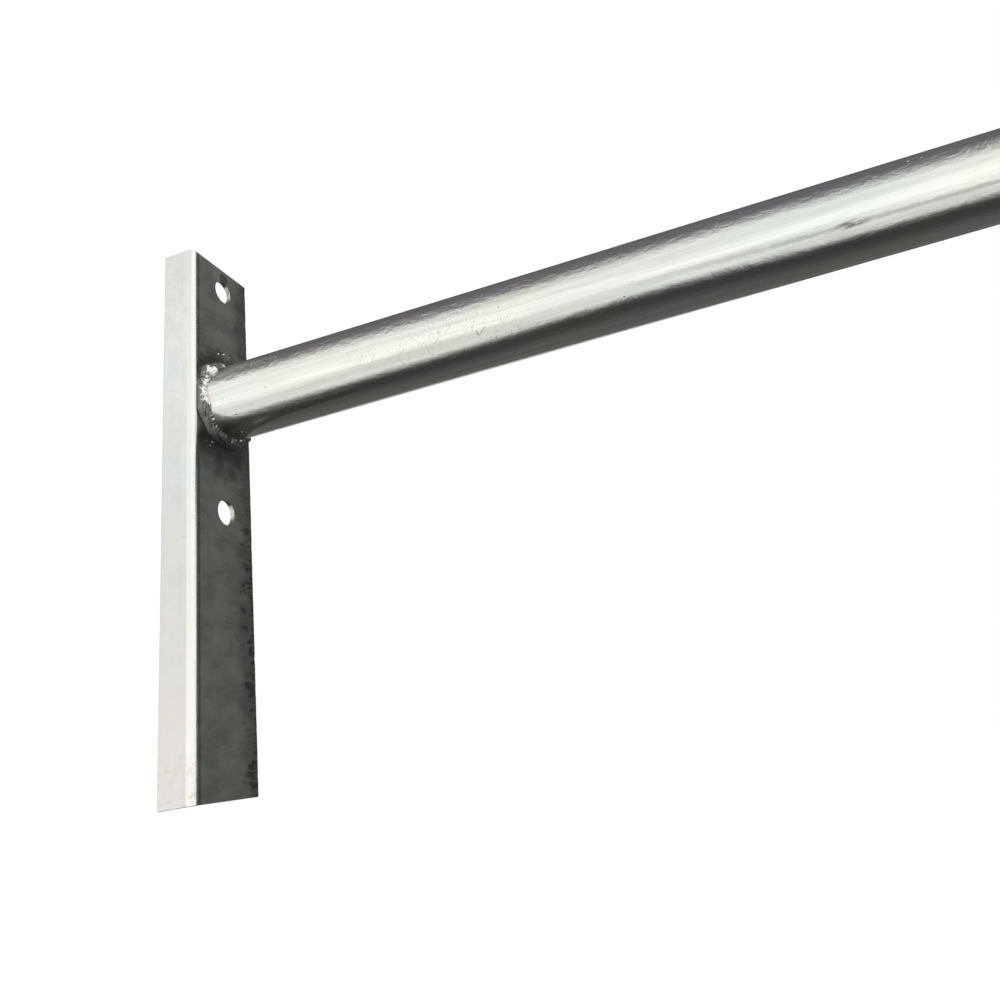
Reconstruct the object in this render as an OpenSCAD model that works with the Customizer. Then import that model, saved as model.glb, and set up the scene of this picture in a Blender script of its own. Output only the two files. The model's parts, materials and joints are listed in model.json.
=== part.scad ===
// Pull-up bar: a straight steel tube welded between two folded angle brackets,
// which lap the corners of a pair of posts and are screwed to their inner sides.
// +X runs along the tube, +Y from front to back and +Z up. The origin is the middle of the tube's axis.

/* [Fitting] */
// Clear width between the two posts
opening_w = 1000; // [600:10:1600]

/* [Tube] */
// Outside diameter of the tube
tube_od = 33.7; // [25:0.1:48.3]
// Wall of the tube
tube_wall = 3.2; // [2:0.1:5]

/* [Angle brackets] */
// Height of a bracket
bracket_h = 235; // [180:1:400]
// Width of the front leg, measured over the bend
front_leg_w = 15; // [10:0.5:60]
// Thickness of the sheet
sheet_t = 2; // [1.5:0.1:4]
// Inside radius of the bend
bend_r = 1; // [0.5:0.1:3]
// Flat between the bend and the tube
land_front = 2.2; // [1:0.1:20]
// Flat between the tube and the back edge
land_back = 1.1; // [1:0.1:20]
// From the top edge down to the tube's axis
tube_drop = 72; // [60:1:90]

/* [Screw holes] */
// Diameter of a screw hole
screw_hole_d = 11; // [5:0.5:13]
// From the top edge down to the upper hole
hole_drop = 12; // [9:0.5:18]
// Between the upper and the lower hole
hole_pitch = 110; // [110:1:140]

/* [Vent holes] */
// Diameter of the vent hole behind each end of the tube
vent_d = 8; // [4:0.5:14]

/* [Weld beads] */
// Leg of a bead, along the tube and along the bracket
weld_leg = 4.2; // [2:0.1:6]
// Height of a bead's round face over the straight line between its toes
weld_crown = 0.5; // [0.2:0.1:1]

/* [Hidden] */
$fn = 96;

tube_r = tube_od / 2;
tube_len = opening_w - 2 * sheet_t; // the tube stops at the brackets' inner faces
bend_outer_r = bend_r + sheet_t;
setback = bend_outer_r + land_front + tube_r; // front of the bracket back to the tube's axis
side_leg_w = setback + tube_r + land_back;
hole_zs = [tube_drop - hole_drop, tube_drop - hole_drop - hole_pitch];
cut_over = 1; // how far a cutter passes each face

// A bead's face is an arc over the chord between its toes
weld_half_chord = weld_leg / sqrt(2);
weld_face_r = (pow(weld_half_chord, 2) + pow(weld_crown, 2)) / (2 * weld_crown);
weld_centre_back = weld_leg / 2 - (weld_face_r - weld_crown) / sqrt(2);

zinc = [0.74, 0.75, 0.73];
dull_zinc = [0.62, 0.63, 0.61];
weld_grey = [0.55, 0.55, 0.53];

// The right end is drawn, and the left end is its mirror image
module at_end(side) {
    if (side == "left") mirror([1, 0, 0]) children();
    else children();
}

module cross_bore(d, z) {
    translate([tube_len / 2 - cut_over, 0, z])
        rotate([0, 90, 0]) cylinder(d = d, h = sheet_t + 2 * cut_over);
}

// Cross-section of the angle: the side leg runs back along Y, the front leg away from the tube along X
module angle_section() {
    translate([0, bend_outer_r]) square([sheet_t, side_leg_w - bend_outer_r]);
    translate([bend_outer_r, 0]) square([front_leg_w - bend_outer_r, sheet_t]);
    translate([bend_outer_r, bend_outer_r]) intersection() {
        difference() {
            circle(bend_outer_r);
            circle(bend_r);
        }
        translate([-bend_outer_r, -bend_outer_r]) square(bend_outer_r);
    }
}

module angle_bracket(side) {
    color(dull_zinc) at_end(side) difference() {
        translate([tube_len / 2, -setback, tube_drop - bracket_h])
            linear_extrude(height = bracket_h) angle_section();
        for (z = hole_zs) cross_bore(screw_hole_d, z);
        cross_bore(vent_d, 0);
    }
}

// The bead runs round the tube and stays on the flat of the side leg
module weld_bead(side) {
    color(weld_grey) at_end(side) intersection() {
        translate([tube_len / 2, 0, 0]) rotate([0, -90, 0]) rotate_extrude() intersection() {
            translate([tube_r, 0]) square(weld_leg);
            translate([tube_r + weld_centre_back, weld_centre_back]) circle(weld_face_r);
        }
        translate([tube_len / 2 - weld_leg - cut_over, -tube_r - land_front, -tube_od])
            cube([weld_leg + 2 * cut_over, tube_od + land_front + land_back, 2 * tube_od]);
    }
}

module grip_tube() {
    color(zinc) rotate([0, 90, 0]) difference() {
        cylinder(d = tube_od, h = tube_len, center = true);
        cylinder(d = tube_od - 2 * tube_wall, h = tube_len + 2 * cut_over, center = true);
    }
}

grip_tube();
angle_bracket("left");  // left_angle_bracket
angle_bracket("right");  // right_angle_bracket
weld_bead("left");  // left_weld_bead
weld_bead("right");  // right_weld_bead
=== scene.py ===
# Pull-up bar: a zinc-plated steel tube welded at each end to a folded angle bracket.
# Shapes are in metres. Patterns in the materials are in millimetres.
import json
import math
import bmesh
import bpy
import numpy as np
from mathutils import Matrix, Vector


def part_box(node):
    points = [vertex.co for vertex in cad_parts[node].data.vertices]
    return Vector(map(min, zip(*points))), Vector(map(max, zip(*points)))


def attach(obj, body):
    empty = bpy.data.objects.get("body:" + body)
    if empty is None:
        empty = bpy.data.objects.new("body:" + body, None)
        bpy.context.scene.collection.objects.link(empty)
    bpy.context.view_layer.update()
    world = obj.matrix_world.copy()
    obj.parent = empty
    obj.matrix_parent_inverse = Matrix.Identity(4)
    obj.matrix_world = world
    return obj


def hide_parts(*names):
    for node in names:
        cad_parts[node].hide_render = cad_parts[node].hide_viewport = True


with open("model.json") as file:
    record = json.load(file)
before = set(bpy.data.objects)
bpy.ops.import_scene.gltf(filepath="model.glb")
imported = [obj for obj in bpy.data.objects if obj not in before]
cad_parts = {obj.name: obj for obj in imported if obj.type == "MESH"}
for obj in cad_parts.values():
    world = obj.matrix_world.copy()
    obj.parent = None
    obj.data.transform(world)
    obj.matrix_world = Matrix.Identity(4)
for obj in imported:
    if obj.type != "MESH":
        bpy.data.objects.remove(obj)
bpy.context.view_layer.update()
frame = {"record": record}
scene = bpy.context.scene
print("frame loaded")

# sizes that come from the frame
mounts = {m["name"]: m for m in frame["record"]["mounts"]}
screwRow = mounts["right_post_screws"]
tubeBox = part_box("grip_tube")
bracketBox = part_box("right_angle_bracket")
tubeRadius = (tubeBox[1].z - tubeBox[0].z) / 2
tubeEnd = tubeBox[1].x  # also the face of the bracket that the tube butts against
sheetThickness = screwRow["pos_m"][0] - tubeEnd
bracketFront = bracketBox[0].y
bracketBack = bracketBox[1].y
bracketFoot = bracketBox[0].z
bracketTop = bracketBox[1].z
frontLegWidth = bracketBox[1].x - tubeEnd
screwRadius = screwRow["dims"]["hole_r_mm"] / 1000
screwPitch = screwRow["dims"]["spacing_y_mm"] / 1000
screwHeights = [screwRow["pos_m"][2] + half * screwPitch for half in (0.5, -0.5)]
millimetre = 0.001


# camera, first, because everything else is judged through it
viewpoint = {
    "fromBracketCorner": (0.2142, -0.2788, -0.2409),  # from the left bracket's top front corner
    "azimuth": 13.81,
    "elevation": -23.11,
    "roll": -9.76,
    "lens": 30.48,
    "sensor": 36.0,
    "shift": (-0.03, -0.10),
}


def makeCamera(v):
    turn, tilt, roll = (math.radians(v[key]) for key in ("azimuth", "elevation", "roll"))
    ahead = Vector((-math.sin(turn) * math.cos(tilt), math.cos(turn) * math.cos(tilt), -math.sin(tilt)))
    level = ahead.cross(Vector((0, 0, 1))).normalized()
    upright = level.cross(ahead)
    right = level * math.cos(roll) + upright * math.sin(roll)
    up = upright * math.cos(roll) - level * math.sin(roll)
    lensData = bpy.data.cameras.new("camera")
    lensData.lens = v["lens"]
    lensData.sensor_width = v["sensor"]
    lensData.shift_x, lensData.shift_y = v["shift"]
    lensData.clip_start = 0.01
    camera = bpy.data.objects.new("camera", lensData)
    scene.collection.objects.link(camera)
    corner = Vector((-tubeEnd, bracketFront, bracketTop))
    turned = Matrix((right, up, -ahead)).transposed().to_4x4()
    camera.matrix_world = Matrix.Translation(corner + Vector(v["fromBracketCorner"])) @ turned
    scene.camera = camera


makeCamera(viewpoint)
print("camera placed")


# mesh helpers
# Sum of sines with random directions and phases, between about -1 and 1. The reach is in cycles.
def smoothNoise(u, v, seed, waves=12, reach=(1.0, 4.0)):
    draw = np.random.default_rng(seed)
    total = np.zeros(np.broadcast(u, v).shape)
    for _ in range(waves):
        cycles = draw.uniform(*reach)
        angle, phase = draw.uniform(0, 2 * np.pi, 2)
        total += np.sin(2 * np.pi * cycles * (u * np.cos(angle) + v * np.sin(angle)) + phase)
    return total / np.sqrt(waves)


# Sum of sines with whole numbers of cycles per turn, so that it closes on itself.
def ringNoise(turnAngle, seed, lowest, highest, waves=14):
    draw = np.random.default_rng(seed)
    cycles = draw.integers(lowest, highest + 1, waves)
    phases = draw.uniform(0, 2 * np.pi, waves)
    return np.sin(turnAngle[..., None] * cycles + phases).sum(-1) / np.sqrt(waves)


# Faces of a rows by columns grid of points, closed on itself where asked.
def gridQuads(rows, columns, closeRows=False, closeColumns=False, first=0):
    r = np.arange(rows if closeRows else rows - 1)[:, None]
    c = np.arange(columns if closeColumns else columns - 1)[None, :]
    nextR, nextC = (r + 1) % rows, (c + 1) % columns
    corners = [r * columns + c, nextR * columns + c, nextR * columns + nextC, r * columns + nextC]
    return np.stack([np.broadcast_to(k, (r.size, c.size)) for k in corners], -1).reshape(-1, 4) + first


# A mesh from points and faces, with one number per point for each named mark. Equal points are joined.
def makePiece(name, points, faces, sharpAngle=40.0, marks=None):
    mesh = bpy.data.meshes.new(name)
    mesh.from_pydata(points.reshape(-1, 3).tolist(), [], faces.tolist())
    for label, values in (marks or {}).items():
        mesh.attributes.new(label, "FLOAT", "POINT").data.foreach_set("value", values.astype(np.float32))
    work = bmesh.new()
    work.from_mesh(mesh)
    bmesh.ops.remove_doubles(work, verts=work.verts, dist=1e-6)
    work.to_mesh(mesh)
    work.free()
    mesh.polygons.foreach_set("use_smooth", np.ones(len(mesh.polygons), dtype=bool))
    mesh.set_sharp_from_angle(angle=math.radians(sharpAngle))
    mesh.update()
    piece = bpy.data.objects.new(name, mesh)
    scene.collection.objects.link(piece)
    return piece


# Gives a finished piece its material and its body, and hides the CAD node that it stands for.
def settle(piece, node, material):
    piece.data.materials.append(material)
    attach(piece, "root")
    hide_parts(node)


# material helpers
# One node: settings are its properties, and each wire is a value or another node's output.
def wire(tree, kind, wires=None, **settings):
    made = tree.nodes.new("ShaderNode" + kind)
    for key, value in settings.items():
        setattr(made, key, value)
    for key, value in (wires or {}).items():
        if isinstance(value, bpy.types.NodeSocket):
            tree.links.new(value, made.inputs[key])
        else:
            made.inputs[key].default_value = value
    return made


def calc(tree, operation, a, b=0.0, c=0.0, clamp=False):
    made = wire(tree, "Math", {0: a, 1: b, 2: c}, operation=operation, use_clamp=clamp)
    return made.outputs[0]


def blendColour(tree, amount, a, b, mode="MIX"):
    made = wire(tree, "Mix", {0: amount, 6: a, 7: b}, data_type="RGBA", blend_type=mode)
    return made.outputs[2]


def spread(tree, value, low, high, toLow=0.0, toHigh=1.0, curve="SMOOTHSTEP"):
    wires = {0: value, 1: low, 2: high, 3: toLow, 4: toHigh}
    return wire(tree, "MapRange", wires, interpolation_type=curve).outputs[0]


def stretch(tree, spot, scale):
    return wire(tree, "VectorMath", {0: spot, 1: scale}, operation="MULTIPLY").outputs[0]


def offsetFrom(tree, spot, centre):
    return wire(tree, "VectorMath", {0: spot, 1: centre}, operation="SUBTRACT").outputs[0]


def lengthOf(tree, spot):
    return wire(tree, "VectorMath", {0: spot}, operation="LENGTH").outputs["Value"]


def noise(tree, spot, scale, detail=3.0, roughness=0.55, warp=0.0):
    wires = {"Vector": spot, "Scale": scale, "Detail": detail, "Roughness": roughness, "Distortion": warp}
    return wire(tree, "TexNoise", wires).outputs[0]


# A colour ramp: stops are (position, colour) pairs in rising order.
def colourRamp(tree, value, stops):
    made = wire(tree, "ValToRGB", {0: value})
    while len(made.color_ramp.elements) < len(stops):
        made.color_ramp.elements.new(0.5)
    for element, (position, colour) in zip(made.color_ramp.elements, stops):
        element.position = position
        element.color = (*colour, 1)
    return made.outputs[0]


def newGroup(name, takes, gives):
    tree = bpy.data.node_groups.new(name, "ShaderNodeTree")
    for label, kind, value in takes:
        socket = tree.interface.new_socket(label, in_out="INPUT", socket_type="NodeSocket" + kind)
        if value is not None:
            socket.default_value = value
    for label, kind in gives:
        tree.interface.new_socket(label, in_out="OUTPUT", socket_type="NodeSocket" + kind)
    return tree, tree.nodes.new("NodeGroupInput").outputs, tree.nodes.new("NodeGroupOutput").inputs


def place(tree, group, wires):
    made = tree.nodes.new("ShaderNodeGroup")
    made.node_tree = group
    for key, value in wires.items():
        if isinstance(value, bpy.types.NodeSocket):
            tree.links.new(value, made.inputs[key])
        else:
            made.inputs[key].default_value = value
    return made.outputs


# effects that more than one finish uses
# Faint yellow, rose and blue clouds of the passivated zinc, and where it has gone dull.
def makeBloomGroup():
    tree, takes, gives = newGroup(
        "zincBloom",
        [
            ("Place", "Vector", None),
            ("Size", "Float", 40.0),
            ("Tint", "Float", 0.5),
            ("Base", "Color", (0.7, 0.7, 0.7, 1)),
        ],
        [("Color", "Color"), ("Dull", "Float")],
    )
    scale = calc(tree, "DIVIDE", 1.0, takes["Size"])
    cloud = noise(tree, takes["Place"], scale, detail=2.0, warp=0.6)
    film = colourRamp(tree, cloud, [
        (0.30, (0.90, 1.0, 1.04)),  # blue
        (0.42, (1, 1, 1)),
        (0.52, (1.03, 1.0, 0.90)),  # yellow
        (0.60, (1, 1, 1)),
        (0.70, (1.05, 0.97, 0.97)),  # rose
    ])
    tinted = blendColour(tree, 1.0, takes["Base"], film, "MULTIPLY")
    tree.links.new(blendColour(tree, takes["Tint"], takes["Base"], tinted), gives["Color"])
    fine = noise(tree, takes["Place"], calc(tree, "MULTIPLY", scale, 5.0), detail=5.0, roughness=0.6)
    tree.links.new(spread(tree, fine, 0.35, 0.68), gives["Dull"])
    return tree


# Long lines left by drawing or rolling. The Stretch input is small along the lines and 1 across.
def makeDrawnGroup():
    tree, takes, gives = newGroup(
        "drawnLines",
        [("Place", "Vector", None), ("Stretch", "Vector", (0.02, 1, 1)), ("Scale", "Float", 1.0)],
        [("Lines", "Float"), ("Height", "Float")],
    )
    along = stretch(tree, takes["Place"], takes["Stretch"])
    broad = noise(tree, along, calc(tree, "MULTIPLY", takes["Scale"], 0.45), detail=3.0)
    fine = noise(tree, along, calc(tree, "MULTIPLY", takes["Scale"], 2.2), detail=4.0, roughness=0.65)
    both = calc(tree, "MULTIPLY_ADD", fine, 0.4, calc(tree, "MULTIPLY", broad, 0.6))
    tree.links.new(spread(tree, both, 0.38, 0.62), gives["Lines"])
    tree.links.new(both, gives["Height"])
    return tree


# Soft dimples of the plated skin, a few millimetres across, with small pits.
def makeMottleGroup():
    tree, takes, gives = newGroup(
        "platedSkin",
        [("Place", "Vector", None), ("Size", "Float", 3.0), ("Pits", "Float", 0.5)],
        [("Height", "Float"), ("Pit", "Float")],
    )
    scale = calc(tree, "DIVIDE", 1.0, takes["Size"])
    dimple = noise(tree, takes["Place"], scale, detail=3.0, warp=0.4)
    cellScale = calc(tree, "MULTIPLY", scale, 0.9)
    cells = wire(tree, "TexVoronoi", {"Vector": takes["Place"], "Scale": cellScale})
    dot = spread(tree, cells.outputs["Distance"], 0.05, 0.16, 1.0, 0.0)
    rare = wire(tree, "SeparateColor", {0: cells.outputs["Color"]}).outputs[0]
    chosen = calc(tree, "LESS_THAN", rare, calc(tree, "MULTIPLY", takes["Pits"], 0.3))
    pit = calc(tree, "MULTIPLY", dot, chosen)
    tree.links.new(calc(tree, "SUBTRACT", dimple, calc(tree, "MULTIPLY", pit, 0.8)), gives["Height"])
    tree.links.new(pit, gives["Pit"])
    return tree


# Short thin scratches in two directions, gathered in patches.
def makeScuffGroup():
    tree, takes, gives = newGroup(
        "scuffs",
        [("Place", "Vector", None), ("Amount", "Float", 0.5)],
        [("Scuff", "Float")],
    )
    patches = spread(tree, noise(tree, takes["Place"], 0.03, detail=2.0), 0.5, 0.66)
    total = None
    for angle in (0.5, -0.9):
        turned = wire(tree, "Mapping", {"Vector": takes["Place"], "Rotation": (0.3, angle, angle)})
        thin = stretch(tree, turned.outputs[0], (0.08, 2.6, 2.6))
        line = spread(tree, noise(tree, thin, 1.0, detail=1.0), 0.66, 0.72)
        total = line if total is None else calc(tree, "MAXIMUM", total, line)
    masked = calc(tree, "MULTIPLY", total, calc(tree, "MULTIPLY", patches, takes["Amount"]))
    tree.links.new(masked, gives["Scuff"])
    return tree


# Where the welding heat reached: a dull, slightly brown and rose ring that fades with distance.
def makeHeatGroup():
    tree, takes, gives = newGroup(
        "weldHeat",
        [
            ("Place", "Vector", None),
            ("Distance", "Float", 0.0),
            ("Reach", "Float", 12.0),
            ("Base", "Color", (0.7, 0.7, 0.7, 1)),
        ],
        [("Color", "Color"), ("Heat", "Float")],
    )
    ragged = noise(tree, takes["Place"], 0.09, detail=4.0)
    shifted = calc(tree, "ADD", takes["Distance"], spread(tree, ragged, 0.3, 0.7, -3.5, 3.5, "LINEAR"))
    share = calc(tree, "DIVIDE", shifted, takes["Reach"])
    heat = spread(tree, share, 0.0, 1.0, 1.0, 0.0)
    ring = colourRamp(tree, share, [
        (0.0, (0.60, 0.60, 0.60)),
        (0.30, (0.80, 0.78, 0.76)),
        (0.55, (1.0, 0.95, 0.90)),
        (0.8, (1.0, 0.98, 1.0)),
        (1.0, (1, 1, 1)),
    ])
    tree.links.new(blendColour(tree, 1.0, takes["Base"], ring, "MULTIPLY"), gives["Color"])
    tree.links.new(heat, gives["Heat"])
    return tree


bloomGroup = makeBloomGroup()
drawnGroup = makeDrawnGroup()
mottleGroup = makeMottleGroup()
scuffGroup = makeScuffGroup()
heatGroup = makeHeatGroup()


# The clouds of one finish f, over the given base colour.
def addBloom(tree, spot, f, base):
    return place(tree, bloomGroup, {"Place": spot, "Size": f["cloud"], "Tint": f["tint"], "Base": base})


def addHeat(tree, spot, f, distance, base):
    wires = {"Place": spot, "Distance": distance, "Reach": f["heatReach"], "Base": base}
    return place(tree, heatGroup, wires)


# A new material, with its tree, its Principled shader and Object coordinates in millimetres.
def startMaterial(name):
    material = bpy.data.materials.new(name)
    material.use_nodes = True
    tree = material.node_tree
    coordinates = wire(tree, "TexCoord").outputs["Object"]
    return material, tree, tree.nodes["Principled BSDF"], stretch(tree, coordinates, (1000, 1000, 1000))


# tube finish
tubeFinish = {
    "base": (0.82, 0.83, 0.80, 1),
    "lineColour": (0.56, 0.57, 0.55, 1),
    "lineAmount": 0.48,
    "tint": 0.5,
    "cloud": 55.0,
    "roughness": 0.10,
    "dullness": 0.07,
    "lineRelief": 0.025,
    "skinRelief": 0.070,
    "topWear": 6.0,  # how much rougher the dimples are on top
    "heatReach": 10.0,
    "scrapeAt": (-225.0, -14.1, -9.2),
}


def makeTubeMaterial(f):
    material, tree, shader, spot = startMaterial("zincPlatedTube")
    alongTube = stretch(tree, spot, (0.35, 1, 1))
    bloom = addBloom(tree, alongTube, f, f["base"])
    drawn = place(tree, drawnGroup, {"Place": spot, "Stretch": (0.018, 1, 1), "Scale": 1.0})
    longer = stretch(tree, spot, (0.6, 1, 1))
    skin = place(tree, mottleGroup, {"Place": longer, "Size": 2.4, "Pits": 0.25})
    scuff = place(tree, scuffGroup, {"Place": spot, "Amount": 0.8})["Scuff"]
    axes = wire(tree, "SeparateXYZ", {0: spot})
    fromEnd = calc(tree, "SUBTRACT", tubeEnd / millimetre, calc(tree, "ABSOLUTE", axes.outputs[0]))
    heat = addHeat(tree, spot, f, fromEnd, bloom["Color"])
    lineShare = calc(tree, "MULTIPLY", drawn["Lines"], f["lineAmount"])
    lined = blendColour(tree, lineShare, heat["Color"], f["lineColour"])
    # one place where the bar was scraped
    offset = offsetFrom(tree, spot, f["scrapeAt"])
    away = lengthOf(tree, stretch(tree, offset, (0.16, 0.7, 0.7)))
    streaks = noise(tree, stretch(tree, spot, (0.2, 1.5, 1.5)), 1.0, detail=3.0)
    streak = spread(tree, streaks, 0.40, 0.53)
    scrape = calc(tree, "MULTIPLY", spread(tree, away, 0.5, 1.3, 1.0, 0.0), streak)
    scuff = calc(tree, "MAXIMUM", scuff, scrape)
    marked = blendColour(tree, calc(tree, "MULTIPLY", scuff, 0.88), lined, (0.22, 0.22, 0.21, 1))
    pitted = blendColour(tree, calc(tree, "MULTIPLY", skin["Pit"], 0.55), marked, (0.22, 0.22, 0.21, 1))
    tree.links.new(pitted, shader.inputs["Base Color"])
    shader.inputs["Metallic"].default_value = 1.0
    rough = calc(tree, "MULTIPLY_ADD", bloom["Dull"], f["dullness"], f["roughness"])
    rough = calc(tree, "MULTIPLY_ADD", drawn["Lines"], 0.05, rough)
    rough = calc(tree, "MULTIPLY_ADD", heat["Heat"], 0.08, rough)
    tree.links.new(calc(tree, "MULTIPLY_ADD", scuff, 0.2, rough), shader.inputs["Roughness"])
    relief = calc(tree, "MULTIPLY", drawn["Height"], f["lineRelief"])
    upper = spread(tree, axes.outputs[2], -4.0, 9.0, 1.0, f["topWear"])
    dimples = calc(tree, "MULTIPLY", upper, f["skinRelief"])
    relief = calc(tree, "MULTIPLY_ADD", skin["Height"], dimples, relief)
    bump = wire(tree, "Bump", {"Height": relief, "Distance": millimetre, "Strength": 1.0})
    tree.links.new(bump.outputs[0], shader.inputs["Normal"])
    return material


# bracket finish
bracketShape = {
    "bendRadius": 0.003,  # outside of the bend
    "bendSteps": 8,
    "ventRadius": 0.004,
    "holeCell": 0.010,  # half the square of mesh round each hole
    "cellSteps": 16,
    "meshStep": 0.0025,
    "waviness": 0.00006,
    "shearNicks": 0.0003,
    "edgeRound": 0.00025,
}
sheetFinish = {
    "base": (0.83, 0.835, 0.82, 1),
    "middleBase": (0.71, 0.717, 0.708, 1),  # the front leg is a little darker halfway down
    "footBase": (0.747, 0.712, 0.704, 1),  # and warmer at the foot
    # painted highlight: brighter colour along the bend
    "bendHighlightBase": (0.86, 0.865, 0.84, 1),
    "tint": 0.30,
    "cloud": 32.0,
    "roughness": 0.31,
    "dullness": 0.06,
    "blotchRoughness": 0.09,  # how much smoother the darker clouds are
    # painted shade: darker, greener colour of the side leg, for the dim surroundings it reflects
    "sideShadeTone": (0.79, 0.83, 0.775, 1),
    "middleHeights": (-80.0, 60.0),  # heights in millimetres from the middle of the tube
    "footHeights": (-145.0, -70.0),
    "blotchAmount": 0.34,
    "blotchColour": (0.40, 0.42, 0.40, 1),
    "shadeReach": (3.0, 14.0),  # from the back edge
    "shadeAmount": 0.5,
    "tickReach": (2.5, 13.0),
    "tickHeights": (-65.0, -40.0),
    "tickAmount": 0.75,
    "smokeAndShadeBelow": 24.0,  # how far the weld smoke and the painted shade reach from the tube
    "smokeAndShadeAbove": 14.0,
    # dark patches; the first is painted shade at the top of the upper screw hole
    "darkPatches": [(0.5, 67.5, 3.4, 1.0), (15.5, 56.0, 5.0, 0.8)],  # back, up, size, strength
    "bendShadeLine": 0.6,  # strength of the painted shade line beside the bend
    "lineRelief": 0.008,
    "skinRelief": 0.045,
    "heatReach": 10.0,
    "wearWidth": 0.7,
    # one dark colour for the dirt, the back-edge darkening and the painted shade
    "dirtAndShade": (0.175, 0.185, 0.175, 1),
    "stain": (0.60, 0.50, 0.44, 1),
}


def makeSheetMaterial(f):
    material, tree, shader, spot = startMaterial("zincPlatedSheet")
    axes = wire(tree, "SeparateXYZ", {0: spot})
    outwards = calc(tree, "SUBTRACT", calc(tree, "ABSOLUTE", axes.outputs[0]), tubeEnd / millimetre)
    bendEnd = (bracketFront + bracketShape["bendRadius"]) / millimetre
    fromBend = calc(tree, "SUBTRACT", axes.outputs[1], bendEnd)
    sheet = sheetThickness / millimetre
    thin = spread(tree, outwards, sheet + 0.1, sheet + 0.9, 1.0, 0.0)
    onSideLeg = calc(tree, "MULTIPLY", thin, spread(tree, fromBend, -0.6, 0.2))
    curved = spread(tree, outwards, sheet + 0.6, sheet + 1.3, 1.0, 0.0)
    onBend = calc(tree, "MULTIPLY", curved, spread(tree, fromBend, -0.6, 0.0, 1.0, 0.0))
    # painted shade: the side leg gets a darker, greener copy of the front leg's colour
    sideShadeColour = blendColour(tree, 1.0, f["base"], f["sideShadeTone"], "MULTIPLY")
    middle = spread(tree, axes.outputs[2], *f["middleHeights"], 1.0, 0.0)
    low = spread(tree, axes.outputs[2], *f["footHeights"], 1.0, 0.0)
    frontColour = blendColour(tree, middle, f["base"], f["middleBase"])
    frontColour = blendColour(tree, low, frontColour, f["footBase"])
    sideShaded = blendColour(tree, onSideLeg, frontColour, sideShadeColour)
    # painted highlight: the bend is coloured brighter than the legs
    bendHighlighted = blendColour(tree, onBend, sideShaded, f["bendHighlightBase"])
    bloom = addBloom(tree, spot, f, bendHighlighted)
    drawn = place(tree, drawnGroup, {"Place": spot, "Stretch": (1, 1, 0.03), "Scale": 0.8})
    skin = place(tree, mottleGroup, {"Place": spot, "Size": 3.4, "Pits": 0.2})
    scuff = place(tree, scuffGroup, {"Place": spot, "Amount": 0.35})["Scuff"]
    # heat round the tube
    inPlane = wire(tree, "CombineXYZ", {1: axes.outputs[1], 2: axes.outputs[2]})
    fromTube = calc(tree, "SUBTRACT", lengthOf(tree, inPlane.outputs[0]), tubeRadius / millimetre)
    fromWeld = calc(tree, "ADD", fromTube, spread(tree, onSideLeg, 0.0, 1.0, 40.0, 0.0))
    fromWeld = calc(tree, "ADD", fromWeld, spread(tree, outwards, 0.4, 1.6, 0.0, 6.0))  # fainter outside
    heat = addHeat(tree, spot, f, fromWeld, bloom["Color"])
    # soft cloudy dulling, stronger on the side leg
    clouds = noise(tree, stretch(tree, spot, (1, 0.45, 1)), 0.15, detail=5.0, roughness=0.6)
    blotch = spread(tree, clouds, 0.34, 0.70)
    dulling = calc(tree, "MULTIPLY", blotch, calc(tree, "MULTIPLY_ADD", onSideLeg, f["blotchAmount"], 0.03))
    dulled = blendColour(tree, dulling, heat["Color"], f["blotchColour"])
    lineShare = calc(tree, "MULTIPLY", drawn["Lines"], 0.06)
    lined = blendColour(tree, lineShare, dulled, (0.38, 0.38, 0.37, 1))
    # darker towards the back edge of the side leg, with dark ticks near it lower down
    fromBack = calc(tree, "SUBTRACT", bracketBack / millimetre, axes.outputs[1])
    drift = noise(tree, stretch(tree, spot, (1, 0.6, 1)), 0.12, detail=4.0)
    cloudy = spread(tree, drift, 0.3, 0.7, -4.5, 4.5, "LINEAR")
    shade = spread(tree, calc(tree, "ADD", fromBack, cloudy), *f["shadeReach"], f["shadeAmount"], 0.0)
    shade = calc(tree, "MULTIPLY", shade, onSideLeg)
    strokes = noise(tree, stretch(tree, spot, (1, 0.22, 1)), 0.55, detail=5.0, roughness=0.7)
    ticks = spread(tree, strokes, 0.47, 0.55)
    lower = spread(tree, axes.outputs[2], *f["tickHeights"], 1.0, 0.3)
    tickReach = spread(tree, noise(tree, spot, 0.16, detail=3.0), 0.38, 0.62, *f["tickReach"])
    fading = spread(tree, calc(tree, "DIVIDE", fromBack, tickReach), 0.3, 1.0, 1.0, 0.0)
    ticked = calc(tree, "MULTIPLY", calc(tree, "MULTIPLY", ticks, lower), fading)
    ticked = calc(tree, "MULTIPLY", ticked, onSideLeg)
    # weld smoke round the tube, with painted shade below it for the reflected dark underside of the tube,
    # so it reaches further below the tube than above it
    smokeAndShadeReach = spread(tree, axes.outputs[2], -12.0, 2.0, f["smokeAndShadeBelow"], f["smokeAndShadeAbove"])
    wisps = spread(tree, noise(tree, spot, 0.16, detail=4.0), 0.3, 0.7, -4.0, 4.0, "LINEAR")
    share = calc(tree, "DIVIDE", calc(tree, "ADD", fromTube, wisps), smokeAndShadeReach)
    smokeAndShade = spread(tree, share, 0.25, 1.0, 0.97, 0.0)
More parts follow.
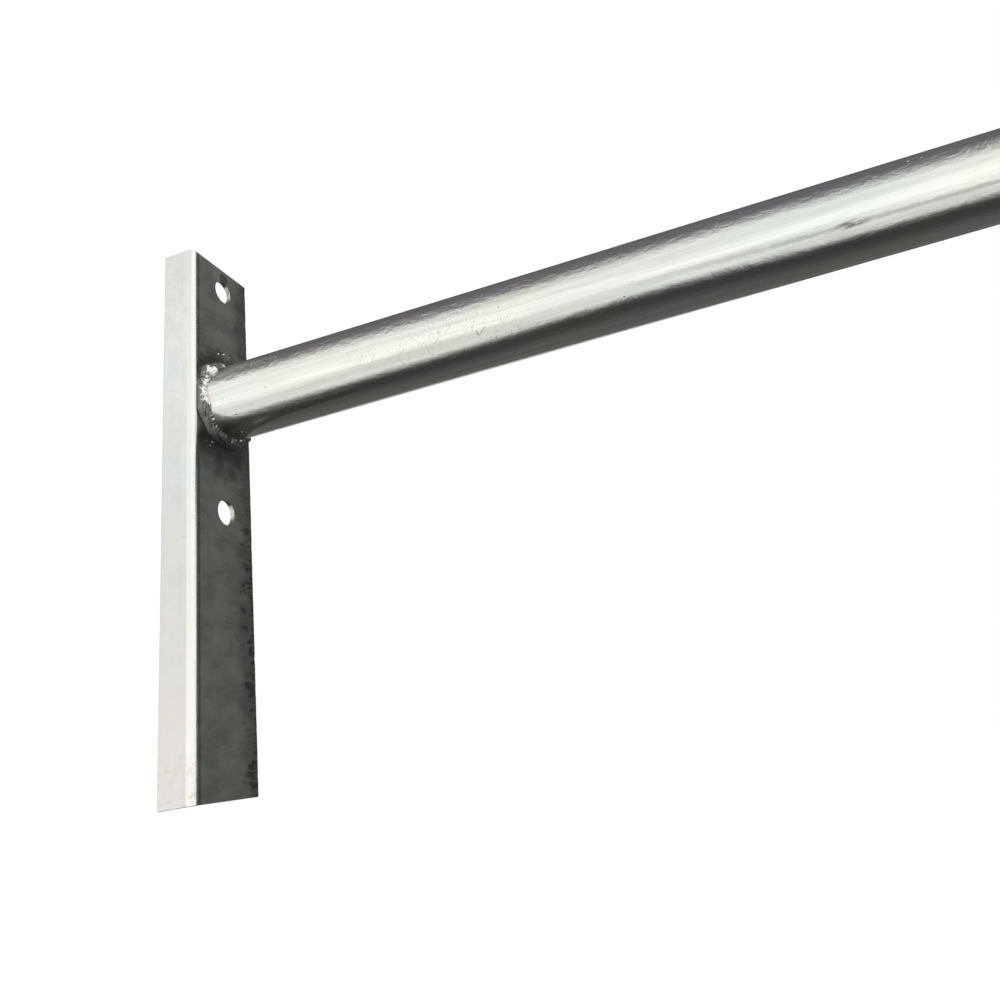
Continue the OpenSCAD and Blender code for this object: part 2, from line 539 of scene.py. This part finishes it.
    # painted shade: the first patch darkens the top of the upper screw hole
    for back, up, size, strength in f["darkPatches"]:
        offset = offsetFrom(tree, inPlane.outputs[0], (0, back, up))
        near = lengthOf(tree, stretch(tree, offset, (0, 0.8, 1)))
        near = calc(tree, "MULTIPLY_ADD", wisps, 0.35, near)
        smokeAndShade = calc(tree, "MAXIMUM", smokeAndShade, spread(tree, near, size * 0.5, size, strength * 0.7, 0.0))
    smokeAndShade = calc(tree, "MULTIPLY", smokeAndShade, spread(tree, outwards, 0.4, 1.6, 1.0, 0.12))  # hardly any outside
    smokeAndShade = calc(tree, "MULTIPLY", smokeAndShade, onSideLeg)
    # painted shade: a thin dark line where the side leg leaves the bend, where darker surroundings are
    # reflected
    pastLine = spread(tree, fromBend, 1.2, 2.1, 1.0, 0.0)
    line = calc(tree, "MULTIPLY", spread(tree, fromBend, -0.3, 0.3), pastLine)
    line = calc(tree, "MULTIPLY", calc(tree, "MULTIPLY", line, onSideLeg), f["bendShadeLine"])
    # dirt and painted shade mixed towards one dark colour
    grimeAndShade = calc(tree, "MULTIPLY_ADD", ticked, f["tickAmount"], shade, clamp=True)
    grimeAndShade = calc(tree, "MAXIMUM", calc(tree, "MAXIMUM", grimeAndShade, line), smokeAndShade)
    grimyAndShaded = blendColour(tree, grimeAndShade, lined, f["dirtAndShade"])
    # brown marks near the foot of the front leg
    foot = bracketFoot / millimetre
    nearFoot = spread(tree, axes.outputs[2], foot + 4, foot + 22, 1.0, 0.0)
    marks = spread(tree, noise(tree, spot, 0.35, detail=4.0), 0.50, 0.66)
    stain = calc(tree, "MULTIPLY", nearFoot, marks)
    stain = calc(tree, "MULTIPLY", stain, calc(tree, "MULTIPLY_ADD", onSideLeg, -0.4, 0.5))
    stained = blendColour(tree, stain, grimyAndShaded, f["stain"])
    # bright worn edges
    rim = wire(tree, "Attribute", attribute_name="rimDistance").outputs["Fac"]
    worn = spread(tree, calc(tree, "DIVIDE", rim, f["wearWidth"]), 0.0, 1.0, 1.0, 0.0)
    worn = calc(tree, "MULTIPLY", worn, spread(tree, noise(tree, spot, 0.8), 0.46, 0.62))
    edged = blendColour(tree, calc(tree, "MULTIPLY", worn, 0.5), stained, (0.88, 0.88, 0.86, 1))
    marked = blendColour(tree, calc(tree, "MULTIPLY", scuff, 0.3), edged, (0.85, 0.85, 0.83, 1))
    pitted = blendColour(tree, calc(tree, "MULTIPLY", skin["Pit"], 0.4), marked, (0.30, 0.30, 0.29, 1))
    tree.links.new(pitted, shader.inputs["Base Color"])
    shader.inputs["Metallic"].default_value = 1.0
    rough = calc(tree, "MULTIPLY_ADD", bloom["Dull"], f["dullness"], f["roughness"])
    rough = calc(tree, "MULTIPLY_ADD", blotch, -f["blotchRoughness"], rough)
    rough = calc(tree, "MULTIPLY_ADD", heat["Heat"], 0.08, rough)
    rough = calc(tree, "MULTIPLY_ADD", onBend, -0.08, rough)
    tree.links.new(calc(tree, "MULTIPLY_ADD", scuff, 0.10, rough), shader.inputs["Roughness"])
    relief = calc(tree, "MULTIPLY", drawn["Height"], f["lineRelief"])
    relief = calc(tree, "MULTIPLY_ADD", skin["Height"], f["skinRelief"], relief)
    bump = wire(tree, "Bump", {"Height": relief, "Distance": millimetre, "Strength": 1.0})
    tree.links.new(bump.outputs[0], shader.inputs["Normal"])
    return material


# weld finish
weldFinish = {
    "base": (0.90, 0.90, 0.87, 1),
    # soot colour, also used for the painted shade under the bead
    "sootAndShade": (0.25, 0.26, 0.25, 1),
    "tint": 0.7,
    "cloud": 9.0,
    "roughness": 0.22,
    "relief": 0.10,
}


def makeWeldMaterial(f):
    material, tree, shader, spot = startMaterial("zincPlatedWeld")
    bloom = addBloom(tree, spot, f, f["base"])
    skin = place(tree, mottleGroup, {"Place": spot, "Size": 0.9, "Pits": 0.8})
    # bright metal near the tube; soot and painted shade towards the bracket, painted shade underneath; a
    # ragged border
    share = wire(tree, "Attribute", attribute_name="faceShare").outputs["Fac"]
    grain = noise(tree, spot, 0.45, detail=5.0, roughness=0.65)
    ragged = spread(tree, grain, 0.3, 0.7, -0.55, 0.55, "LINEAR")
    height = wire(tree, "SeparateXYZ", {0: spot}).outputs[2]
    # painted shade: the lower part of the bead is made darker
    upper = spread(tree, height, -9.0, -1.0, -0.6, 0.0)
    brightMetalScore = calc(tree, "ADD", calc(tree, "ADD", share, ragged), upper)
    brightMetal = spread(tree, brightMetalScore, 0.36, 0.66)
    sootedAndShaded = blendColour(tree, brightMetal, f["sootAndShade"], bloom["Color"])
    pitted = blendColour(tree, calc(tree, "MULTIPLY", skin["Pit"], 0.8), sootedAndShaded, (0.08, 0.08, 0.08, 1))
    tree.links.new(pitted, shader.inputs["Base Color"])
    shader.inputs["Metallic"].default_value = 1.0
    rough = calc(tree, "MULTIPLY_ADD", calc(tree, "SUBTRACT", 1.0, brightMetal), 0.28, f["roughness"])
    tree.links.new(rough, shader.inputs["Roughness"])
    depth = calc(tree, "MULTIPLY_ADD", brightMetal, f["relief"] * 0.6, f["relief"] * 0.4)
    relief = calc(tree, "MULTIPLY", skin["Height"], depth)
    bump = wire(tree, "Bump", {"Height": relief, "Distance": millimetre, "Strength": 1.0})
    tree.links.new(bump.outputs[0], shader.inputs["Normal"])
    return material


tubeMaterial = makeTubeMaterial(tubeFinish)
sheetMaterial = makeSheetMaterial(sheetFinish)
weldMaterial = makeWeldMaterial(weldFinish)
print("finishes made")


# tube
tubeShape = {"wall": 0.0032, "rings": 260, "sides": 144, "waviness": 0.00005, "endRound": 0.0003}


# A closed outline of the wall, turned about the X axis: point = (along, radius cos turn, radius sin turn).
def makeTube(t):
    outer, inner, soft = tubeRadius, tubeRadius - t["wall"], t["endRound"]
    run = np.linspace(-tubeEnd + soft, tubeEnd - soft, t["rings"])
    along = np.concatenate([run, [tubeEnd, tubeEnd], run[::-1], [-tubeEnd, -tubeEnd]])
    radius = np.concatenate([
        np.full(run.size, outer),
        [outer - soft, inner + soft],
        np.full(run.size, inner),
        [inner + soft, outer - soft],
    ])
    turn = np.linspace(0, 2 * np.pi, t["sides"], endpoint=False)
    # slow bends and flats of the drawn tube, always inwards
    flats = smoothNoise(along[:, None] * 6, np.cos(turn)[None, :] * 0.3, 3)
    bends = smoothNoise(along[:, None] * 2, np.sin(turn)[None, :] * 0.5, 4)
    shrunk = radius[:, None] - t["waviness"] * (0.5 + 0.25 * np.clip(flats + bends, -2, 2))
    points = np.stack([
        np.broadcast_to(along[:, None], shrunk.shape), shrunk * np.cos(turn), shrunk * np.sin(turn),
    ], -1)
    return makePiece("grip_tube_drawn", points, gridQuads(along.size, turn.size, True, True)[:, ::-1])


settle(makeTube(tubeShape), "grip_tube", tubeMaterial)
print("tube made")


# brackets
# Distance along the unrolled section to (away from the tube, back from the front): leg, quarter arc, leg.
def sectionPoint(s, b):
    flat = frontLegWidth - b["bendRadius"]
    arc = b["bendRadius"] * np.pi / 2
    angle = np.clip((s - flat) / b["bendRadius"], 0, np.pi / 2)
    away = frontLegWidth - np.minimum(s, flat) - b["bendRadius"] * np.sin(angle)
    back = b["bendRadius"] * (1 - np.cos(angle)) + np.maximum(s - flat - arc, 0)
    facing = np.stack([-np.sin(angle), -np.cos(angle)], -1)  # outward direction, in the same two axes
    return away, back, facing


def steps(low, high, size):
    return np.linspace(low, high, max(2, int(round((high - low) / size)) + 1))


# The outer skin on a grid of section length and height, with a ring of mesh round each hole.
def makeBracket(name, side, b, seed):
    flat = frontLegWidth - b["bendRadius"]
    arc = b["bendRadius"] * np.pi / 2
    webStart = flat + arc
    total = webStart + (bracketBack - bracketFront) - b["bendRadius"]
    axisAt = webStart - bracketFront - b["bendRadius"]  # section length at the line of the holes
    cell, count = b["holeCell"], b["cellSteps"]
    holes = [(screwHeights[0], screwRadius), (0.0, b["ventRadius"]), (screwHeights[1], screwRadius)]
    # grid lines, with even ones across each hole's square
    across = np.unique(np.round(np.concatenate([
        steps(0, flat, b["meshStep"]), np.linspace(flat, webStart, b["bendSteps"] + 1),
        steps(webStart, axisAt - cell, b["meshStep"]), np.linspace(axisAt - cell, axisAt + cell, count + 1),
        steps(axisAt + cell, total, b["meshStep"]),
    ]), 9))
    upwards, top = [], bracketTop
    for height, _ in holes:
        upwards.append(steps(height + cell, top, b["meshStep"]))
        upwards.append(np.linspace(height - cell, height + cell, count + 1))
        top = height - cell
    upwards = np.unique(np.round(np.concatenate([*upwards, steps(bracketFoot, top, b["meshStep"])]), 9))
    s, z = np.meshgrid(across, upwards, indexing="ij")
    flatPoints, faces = [np.stack([s, z], -1).reshape(-1, 2)], gridQuads(across.size, upwards.size)
    middle = flatPoints[0][faces].mean(1)
    inHole = np.zeros(len(faces), dtype=bool)
    for height, _ in holes:
        inHole |= (np.abs(middle[:, 0] - axisAt) < cell) & (np.abs(middle[:, 1] - height) < cell)
    allFaces, first = [faces[~inHole]], s.size
    edge = np.linspace(-cell, cell, count + 1)[:-1]
    ones = np.full(count, cell)
    square = np.concatenate([
        np.stack([edge, -ones], -1),
        np.stack([ones, edge], -1),
        np.stack([-edge, ones], -1),
        np.stack([-ones, -edge], -1),
    ])
    turned = np.arctan2(square[:, 1], square[:, 0])
    for height, radius in holes:
        circle = np.stack([np.cos(turned), np.sin(turned)], -1) * radius
        blend = (np.linspace(0, 1, 6) ** 1.3)[:, None, None]
        ring = (1 - blend) * circle + blend * square + np.array([axisAt, height])
        flatPoints.append(ring.reshape(-1, 2))
        allFaces.append(gridQuads(6, len(square), False, True, first))
        first += ring.shape[0] * ring.shape[1]
    flatPoints, faces = np.concatenate(flatPoints), np.concatenate(allFaces)
    s, z = flatPoints[:, 0], flatPoints[:, 1]
    rim = np.minimum.reduce([s, total - s, z - bracketFoot, bracketTop - z])
    for height, radius in holes:
        rim = np.minimum(rim, np.abs(np.hypot(s - axisAt, z - height) - radius))
    # nicks of the sheared back edge, and the sheet's slow waves, both inwards
    nick = np.clip(smoothNoise(z * 90, z * 0 + seed, seed, 16, (0.4, 2.6)), 0, 2) * b["shearNicks"] * 0.5
    s = s - nick * np.clip(1 - (total - s) / 0.0015, 0, 1)
    away, back, facing = sectionPoint(s, b)
    dip = b["waviness"] * (0.5 + 0.25 * np.clip(smoothNoise(s * 25, z * 12, seed + 5), -2, 2))
    away = away - facing[:, 0] * dip
    back = back - facing[:, 1] * dip
    points = np.stack([side * (tubeEnd + away), bracketFront + back, z], -1)
    faces = faces if side < 0 else faces[:, ::-1]
    return makePiece(name, points, faces, marks={"rimDistance": rim / millimetre})


# Gives the skin its thickness and its edges a small round.
def finishBracket(piece, b):
    wall = piece.modifiers.new("wall", "SOLIDIFY")
    wall.thickness = sheetThickness - b["waviness"]
    wall.offset = -1
    wall.use_even_offset = True
    soft = piece.modifiers.new("soft", "BEVEL")
    soft.width = b["edgeRound"]
    soft.segments = 2
    soft.limit_method = "ANGLE"
    soft.angle_limit = math.radians(50)
    soft.harden_normals = True


for side, word in ((-1, "left"), (1, "right")):
    bracket = makeBracket(word + "_angle_bracket_folded", side, bracketShape, 20 + side)
    finishBracket(bracket, bracketShape)
    settle(bracket, word + "_angle_bracket", sheetMaterial)
print("brackets made")


# welds
weldShape = {
    "plateLeg": 0.0042,
    "tubeLeg": 0.0040,
    "crown": 0.0007,
    "root": 0.0003,  # how far the bead's hidden side sinks into the tube and the bracket
    "turnSteps": 420,
    "faceSteps": 24,
    "ripples": 44,
    "rippleHeight": 0.00005,
    "lumps": 0.00065,
    "knobs": 0.00022,
    "ragged": 0.00022,
    "frontRoom": 0.0022,  # flat between the tube and the bend
    "backRoom": 0.0010,
    "spatter": 18,
}


# A closed bead round the tube: an outline of face and root, swept by the turn, with ripples and lumps.
def makeWeld(side, w, seed):
    turn = np.linspace(0, 2 * np.pi, w["turnSteps"], endpoint=False)[:, None]
    face = np.linspace(0, 1, w["faceSteps"])[None, :]
    lump, lumpTube, ragged, strength = (
        ringNoise(turn[:, 0], seed + step, low, high)[:, None]
        for step, low, high in ((0, 3, 14), (1, 4, 18), (2, 24, 70), (3, 2, 9))
    )
    room = np.where(np.cos(turn) < 0, w["frontRoom"], w["backRoom"])  # Y is radius times cos
    limit = (tubeRadius + room) / np.maximum(np.abs(np.cos(turn)), 0.3) - tubeRadius
    plateLeg = w["plateLeg"] * 0.84 + w["lumps"] * 0.8 * lump + w["ragged"] * 0.25 * lumpTube
    plateLeg = np.minimum(np.clip(plateLeg, 0.0020, w["plateLeg"]), limit)
    tubeLeg = w["tubeLeg"] * 0.80 + w["lumps"] * lumpTube
    tubeLeg = np.clip(tubeLeg, 0.0018, w["plateLeg"])
    # the face runs from the toe on the bracket (0) to the toe on the tube (1), bulged by its crown
    arch = np.sin(np.pi * face)
    wave = np.cos(w["ripples"] * turn + 2.2 * arch + 1.6 * lump + 0.9 * ragged)
    push = w["crown"] * (1 + 0.5 * lump) * arch ** 0.8
    push = push + w["rippleHeight"] * arch * wave * np.clip(0.7 + 0.6 * strength, 0, 2)
    knobs = smoothNoise(2.5 * np.cos(turn) + 2 * face, 2.5 * np.sin(turn) - face, seed + 4, 18)
    push = push + w["knobs"] * knobs * arch
    slope = np.hypot(plateLeg, tubeLeg)
    out = np.clip(plateLeg * (1 - face) + push * tubeLeg / slope, 0, limit)
    along = tubeLeg * face + push * plateLeg / slope + w["ragged"] * ragged * face ** 4
    along = np.clip(along, 0, w["plateLeg"])
    # hidden side: sinks below both toes and meets behind the corner
    sunk = np.full_like(turn, -w["root"])
    out = np.concatenate([out, sunk, sunk, out[:, :1]], 1)
    along = np.concatenate([along, along[:, -1:], sunk, sunk], 1)
    share = np.concatenate([face + 0 * turn, np.ones_like(turn), 0.5 + 0 * turn, 0 * turn], 1)
    radius = tubeRadius + out
    points = np.stack([side * (tubeEnd - along), radius * np.cos(turn), radius * np.sin(turn)], -1)
    quads = gridQuads(turn.size, points.shape[1], True, True)
    return points.reshape(-1, 3), quads if side < 0 else quads[:, ::-1], share.reshape(-1)


# Small balls on the bracket and the tube near the bead: latitude and longitude grids.
def makeSpatter(side, w, seed):
    draw = np.random.default_rng(seed)
    latitude = np.linspace(0, np.pi, 7)[:, None]
    longitude = np.linspace(0, 2 * np.pi, 10, endpoint=False)[None, :]
    ball = np.stack([
        np.sin(latitude) * np.cos(longitude),
        np.sin(latitude) * np.sin(longitude),
        np.cos(latitude) + 0 * longitude,
    ], -1)
    points, faces, first = [], [], 0
    for _ in range(w["spatter"]):
        size = draw.uniform(0.00018, 0.00050)
        turn = draw.uniform(0, 2 * np.pi)
        if draw.random() < 0.6:  # on the bracket, above or below the tube
            turn = draw.choice([-1, 1]) * np.pi / 2 + draw.uniform(-0.55, 0.55)
            reach = tubeRadius + draw.uniform(0.005, 0.016)
            inwards = 0.1 * size
        else:
            reach = tubeRadius
            inwards = draw.uniform(0.005, 0.018)
        centre = np.array([side * (tubeEnd - inwards), reach * np.cos(turn), reach * np.sin(turn)])
        points.append((centre + ball * size).reshape(-1, 3))
        faces.append(gridQuads(7, 10, False, True, first))
        first += 70
    return np.concatenate(points), np.concatenate(faces)


for side, word in ((-1, "left"), (1, "right")):
    beadPoints, beadFaces, share = makeWeld(side, weldShape, 40 + 10 * side)
    dropPoints, dropFaces = makeSpatter(side, weldShape, 60 + side)
    points = np.concatenate([beadPoints, dropPoints])
    faces = np.concatenate([beadFaces, dropFaces + len(beadPoints)])
    share = np.concatenate([share, np.full(len(dropPoints), 0.8)])
    bead = makePiece(word + "_weld_bead_rippled", points, faces, 70.0, {"faceShare": share})
    settle(bead, word + "_weld_bead", weldMaterial)
print("welds made")


# studio
studio = {
    "floorHeight": -1.7,
    "floorSize": 60.0,
    "floorColour": (0.90, 0.90, 0.89, 1),
    "sunStrength": 3.9,
    # strength of the light by its angle round the tube: 0 is level in front, 90 is straight up
    "lightByAngle": [
        (-180, 0.13), (-150, 0.12), (-120, 0.095), (-100, 0.055), (-84, 0.05), (-76, 0.09),  # below
        (-69, 0.32), (-63, 0.78), (-56, 0.94), (-45, 0.92), (-32, 0.96), (-18, 1.24),  # in front
        (-6, 1.20), (16, 1.06), (30, 0.97), (40, 0.82), (50, 0.60),
        (60, 0.34), (72, 0.19), (92, 0.16),  # above
        (120, 0.14), (150, 0.118), (180, 0.118),  # behind
    ],
    "tint": (1.0, 1.01, 0.985),
    "ceilingTint": (1.02, 0.99, 1.06),
    # direction, where each light starts, where it is full, strength
    "sideLight": ((0.905, -0.302, 0.302), 0.66, 0.86, 1.12),
    "frontLight": ((-0.55, -0.78, 0.30), 0.90, 0.975, 1.08),
    "backLight": ((-0.25, 0.93, 0.27), 0.92, 0.98, 0.65),
    "lowEdgeSwing": 11.0,  # how many degrees the lower edge of the light rises in the middle
    "stripe": (-39.0, 7.0, 0.42),  # a shaded stripe on the right: angle, half width, strength
}


def makeStudio(v):
    mesh = bpy.data.meshes.new("floor")
    half = v["floorSize"] / 2
    corners = [(-half, -half), (half, -half), (half, half), (-half, half)]
    mesh.from_pydata([(x, y, v["floorHeight"]) for x, y in corners], [], [(0, 1, 2, 3)])
    floor = bpy.data.objects.new("floor", mesh)
    scene.collection.objects.link(floor)
    material = bpy.data.materials.new("paleFloor")
    material.use_nodes = True
    shader = material.node_tree.nodes["Principled BSDF"]
    shader.inputs["Base Color"].default_value = v["floorColour"]
    shader.inputs["Roughness"].default_value = 0.8
    shader.inputs["Specular IOR Level"].default_value = 0.1
    mesh.materials.append(material)
    floor.visible_glossy = False
    lamp = bpy.data.lights.new("overhead", "SUN")
    lamp.energy = v["sunStrength"]
    lamp.angle = math.radians(40)
    sun = bpy.data.objects.new("overhead", lamp)
    scene.collection.objects.link(sun)
    sun.visible_glossy = False


# A broad soft light in front, shade above, below and behind, three smaller lights, a white backdrop.
def makeWorld(v):
    world = bpy.data.worlds.new("softRoom")
    scene.world = world
    world.use_nodes = True
    tree = world.node_tree
    direction = wire(tree, "TexCoord").outputs["Generated"]
    axes = wire(tree, "SeparateXYZ", {0: direction})
    forwards = calc(tree, "MULTIPLY", axes.outputs[1], -1.0)
    angle = calc(tree, "MULTIPLY_ADD", calc(tree, "ARCTAN2", axes.outputs[2], forwards), 0.5 / math.pi, 0.5)
    sideways = calc(tree, "ABSOLUTE", calc(tree, "ADD", axes.outputs[0], 0.08))
    central = spread(tree, sideways, 0.0, 0.24, 1.0, 0.0)
    swing = calc(tree, "MULTIPLY", central, spread(tree, angle, 0.40, 0.47, 1.0, 0.0))
    angle = calc(tree, "MULTIPLY_ADD", swing, -v["lowEdgeSwing"] / 360, angle)
    stops = []
    for degrees, strength in v["lightByAngle"]:
        tint = v["ceilingTint"] if 55 < degrees < 130 else v["tint"]
        stops.append((degrees / 360 + 0.5, [strength * part for part in tint]))
    middle, half, strength = v["stripe"]
    fromStripe = calc(tree, "ABSOLUTE", calc(tree, "SUBTRACT", angle, middle / 360 + 0.5))
    stripe = spread(tree, fromStripe, 0.2 * half / 360, half / 360, strength, 0.0)
    stripe = calc(tree, "MULTIPLY", stripe, spread(tree, axes.outputs[0], -0.06, 0.14))
    room = blendColour(tree, stripe, colourRamp(tree, angle, stops), (0, 0, 0, 1))
    for towards, start, full, strength in (v["sideLight"], v["frontLight"], v["backLight"]):
        turned = wire(tree, "VectorMath", {0: direction, 1: towards}, operation="DOT_PRODUCT")
        facing = turned.outputs["Value"]
        lit = (*(strength * part for part in v["tint"]), 1)
        room = blendColour(tree, spread(tree, facing, start, full), room, lit)
    seen = wire(tree, "LightPath").outputs["Is Camera Ray"]
    background = tree.nodes["Background"]
    tree.links.new(blendColour(tree, seen, room, (1.0, 1.0, 1.0, 1)), background.inputs["Color"])


makeStudio(studio)
makeWorld(studio)
scene.view_settings.view_transform = "Standard"
print("studio lit")
